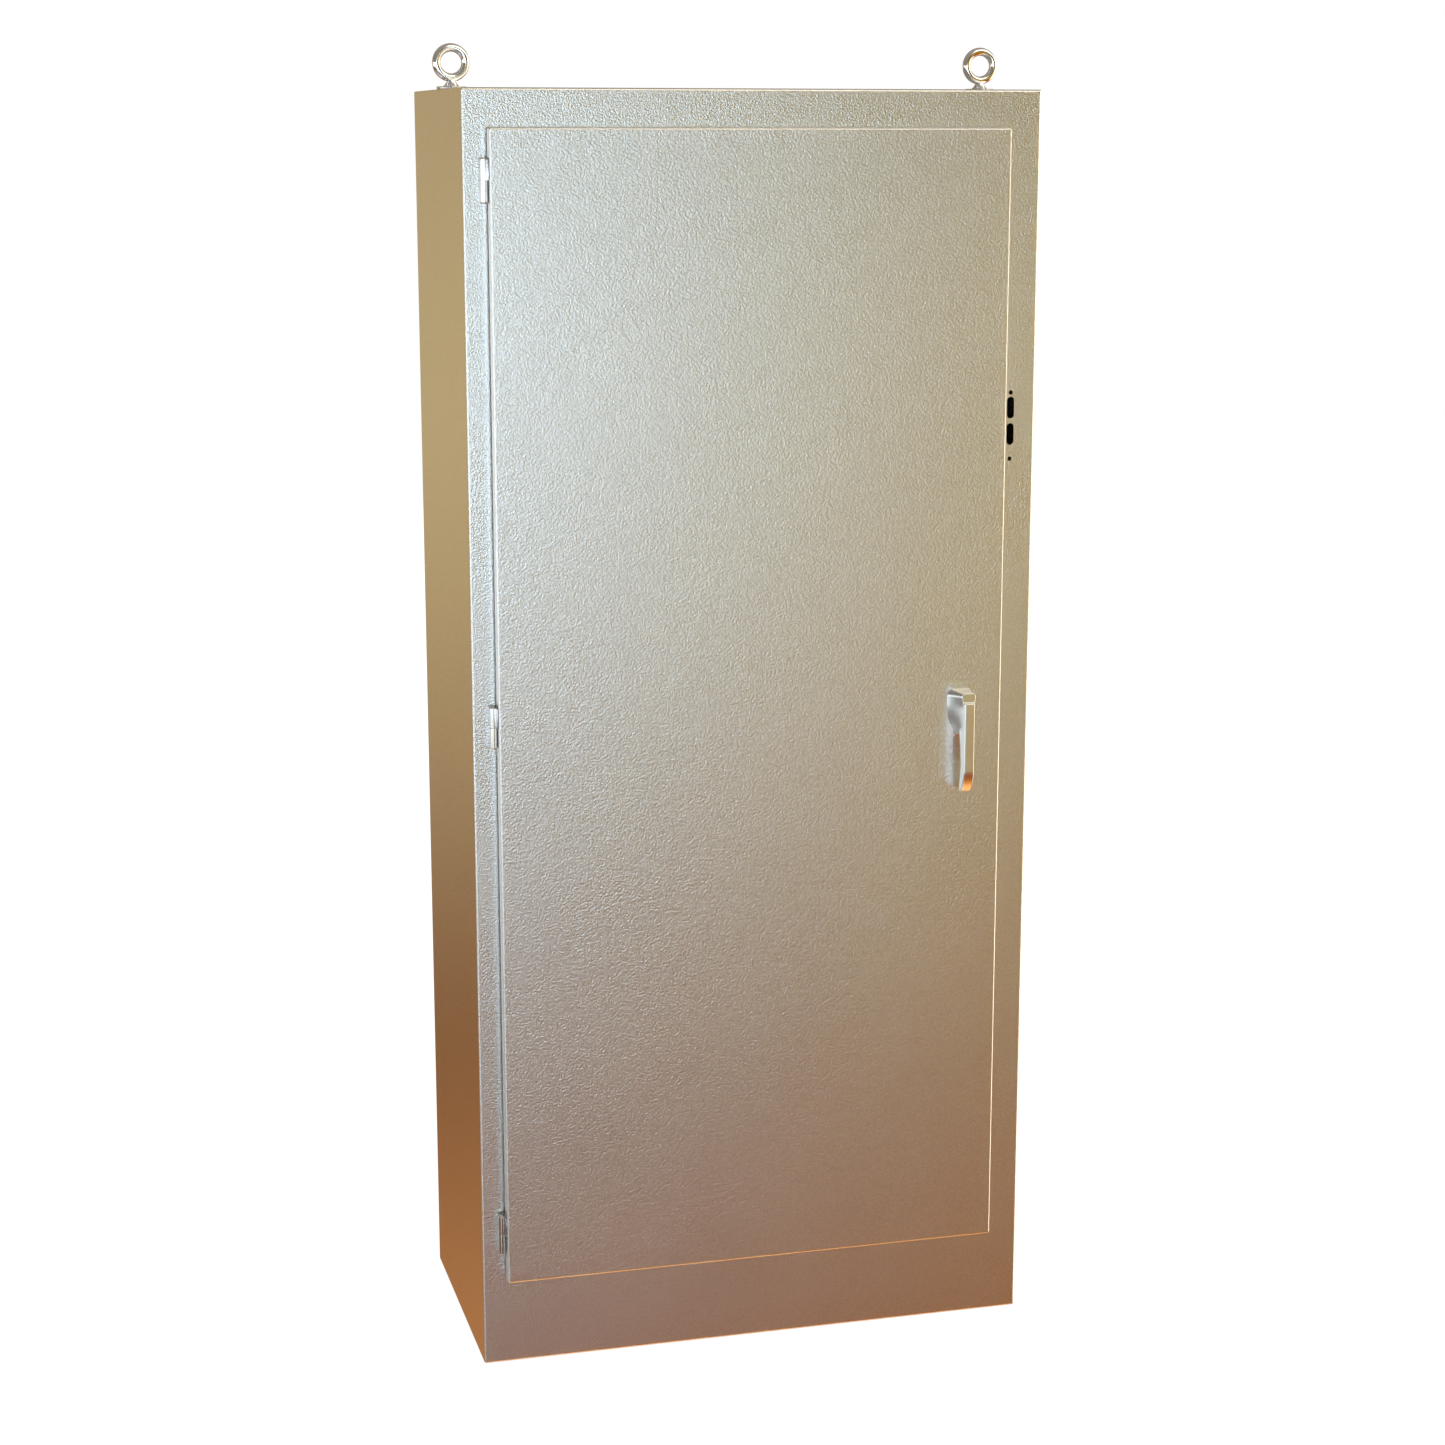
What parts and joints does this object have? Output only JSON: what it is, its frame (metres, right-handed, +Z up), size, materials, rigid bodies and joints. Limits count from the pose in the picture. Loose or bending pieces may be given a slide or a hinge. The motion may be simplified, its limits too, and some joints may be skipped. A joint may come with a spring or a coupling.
{
  "type": "automatic transfer switch enclosure",
  "caption": "Tall free-standing stainless cabinet with a hinged, three-point latched door and lifting eyes, holding a double-throw transfer switch on a mounting panel.",
  "frame": {"origin": "middle of the cabinet's underside, where it stands on the floor", "axes": "+Z up, -Y out of the door's front face, +X to the right when facing the door, hinges on the -X side"},
  "size_m": [1.0488, 0.586, 2.3666],
  "materials": {
    "stainless": "fine grained satin",
    "polished_steel": "polished casting",
    "zinc_steel": "zinc plated",
    "nylon": "moulded",
    "white_paint": "powder coat",
    "grey_paint": "powder coat",
    "foam": "closed-cell foam",
    "moulding": "moulded",
    "red_moulding": "moulded",
    "copper": "bare copper",
    "aluminium": "satin"
  },
  "bodies": {
    "cabinet": {"rear_panel": "stainless", "side_panel_left": "stainless", "side_panel_right": "stainless", "roof_panel": "stainless", "floor_panel": "stainless", "frame_stile_left": "stainless", "frame_stile_right_lower": "stainless", "frame_stile_right_upper": "stainless", "frame_rail_top": "stainless", "frame_rail_bottom": "stainless", "operator_flange": "stainless", "opening_collar": "stainless", "roof_stiffener": "zinc_steel", "eyebolt_left": "polished_steel", "eyebolt_right": "polished_steel", "eyebolt_nut_left": "zinc_steel", "eyebolt_nut_right": "zinc_steel", "hinge_frame_half_top": "stainless", "hinge_frame_half_middle": "stainless", "hinge_frame_half_bottom": "stainless", "hinge_pin_top": "polished_steel", "hinge_pin_middle": "polished_steel", "hinge_pin_bottom": "polished_steel", "panel_rail_left": "zinc_steel", "panel_rail_right": "zinc_steel", "mounting_panel": "white_paint", "switch_frame": "grey_paint", "normal_contact_housing": "moulding", "emergency_contact_housing": "moulding", "normal_terminals": "aluminium", "emergency_terminals": "aluminium", "solenoid_coil": "moulding", "controller_case": "grey_paint", "load_terminals": "aluminium", "neutral_bar": "aluminium", "ground_bar": "copper"},
    "door": {"door_panel": "stainless", "door_gasket": "foam", "door_stiffener": "zinc_steel", "data_pocket": "white_paint", "latch_bushing": "zinc_steel", "rod_guide_upper": "zinc_steel", "rod_guide_lower": "zinc_steel", "hinge_door_half_top": "stainless", "hinge_door_half_middle": "stainless", "hinge_door_half_bottom": "stainless"},
    "handle": {"door_handle": "polished_steel", "handle_shaft": "zinc_steel", "latch_cam": "zinc_steel"},
    "rod_upper": {"latch_rod_upper": "zinc_steel"},
    "rod_lower": {"latch_rod_lower": "zinc_steel"},
    "roller_upper": {"latch_roller_upper": "nylon"},
    "roller_lower": {"latch_roller_lower": "nylon"},
    "crossbar": {"transfer_shaft": "zinc_steel", "contact_blade_a": "copper", "contact_blade_b": "copper", "contact_blade_c": "copper", "manual_lever": "red_moulding"},
    "plunger": {"solenoid_plunger": "zinc_steel"},
    "button": {"test_button": "red_moulding"}
  },
  "joints": [
    {"name": "door_hinge", "type": "hinge", "parent": "cabinet", "child": "door", "pos_m": [-0.4831, -0.2681, 1.195], "axis": [0, 0, -1], "range_deg": [0, 130]},
    {"name": "handle_turn", "type": "hinge", "parent": "door", "child": "handle", "pos_m": [0.3771, -0.2855, 1.198], "axis": [0, 1, 0], "range_deg": [0, 90]},
    {"name": "rod_upper_slide", "type": "slide", "parent": "door", "child": "rod_upper", "axis": [0, 0, 1], "range_m": [-0.03, 0.0005]},
    {"name": "rod_lower_slide", "type": "slide", "parent": "door", "child": "rod_lower", "axis": [0, 0, 1], "range_m": [-0.0005, 0.03]},
    {"name": "roller_upper_spin", "type": "hinge", "parent": "rod_upper", "child": "roller_upper", "pos_m": [0.3941, -0.241, 2.2005], "axis": [1, 0, 0], "continuous": true},
    {"name": "roller_lower_spin", "type": "hinge", "parent": "rod_lower", "child": "roller_lower", "pos_m": [0.3601, -0.241, 0.186], "axis": [1, 0, 0], "continuous": true},
    {"name": "transfer_throw", "type": "hinge", "parent": "cabinet", "child": "crossbar", "pos_m": [-0.03, 0.1332, 1.28], "axis": [1, 0, 0], "range_deg": [0, 70]},
    {"name": "plunger_slide", "type": "slide", "parent": "cabinet", "child": "plunger", "axis": [0, 0, 1], "range_m": [-0.034, 0.0005]},
    {"name": "test_button_press", "type": "slide", "parent": "cabinet", "child": "button", "axis": [0, 1, 0], "range_m": [0, 0.004], "stiffness_N_per_m": 400}
  ],
  "couplings": [
    {"joint": "rod_upper_slide", "follows": "handle_turn", "m_per_rad": -0.018},
    {"joint": "rod_lower_slide", "follows": "handle_turn", "m_per_rad": 0.018},
    {"joint": "plunger_slide", "follows": "transfer_throw", "m_per_rad": -0.027}
  ]
}
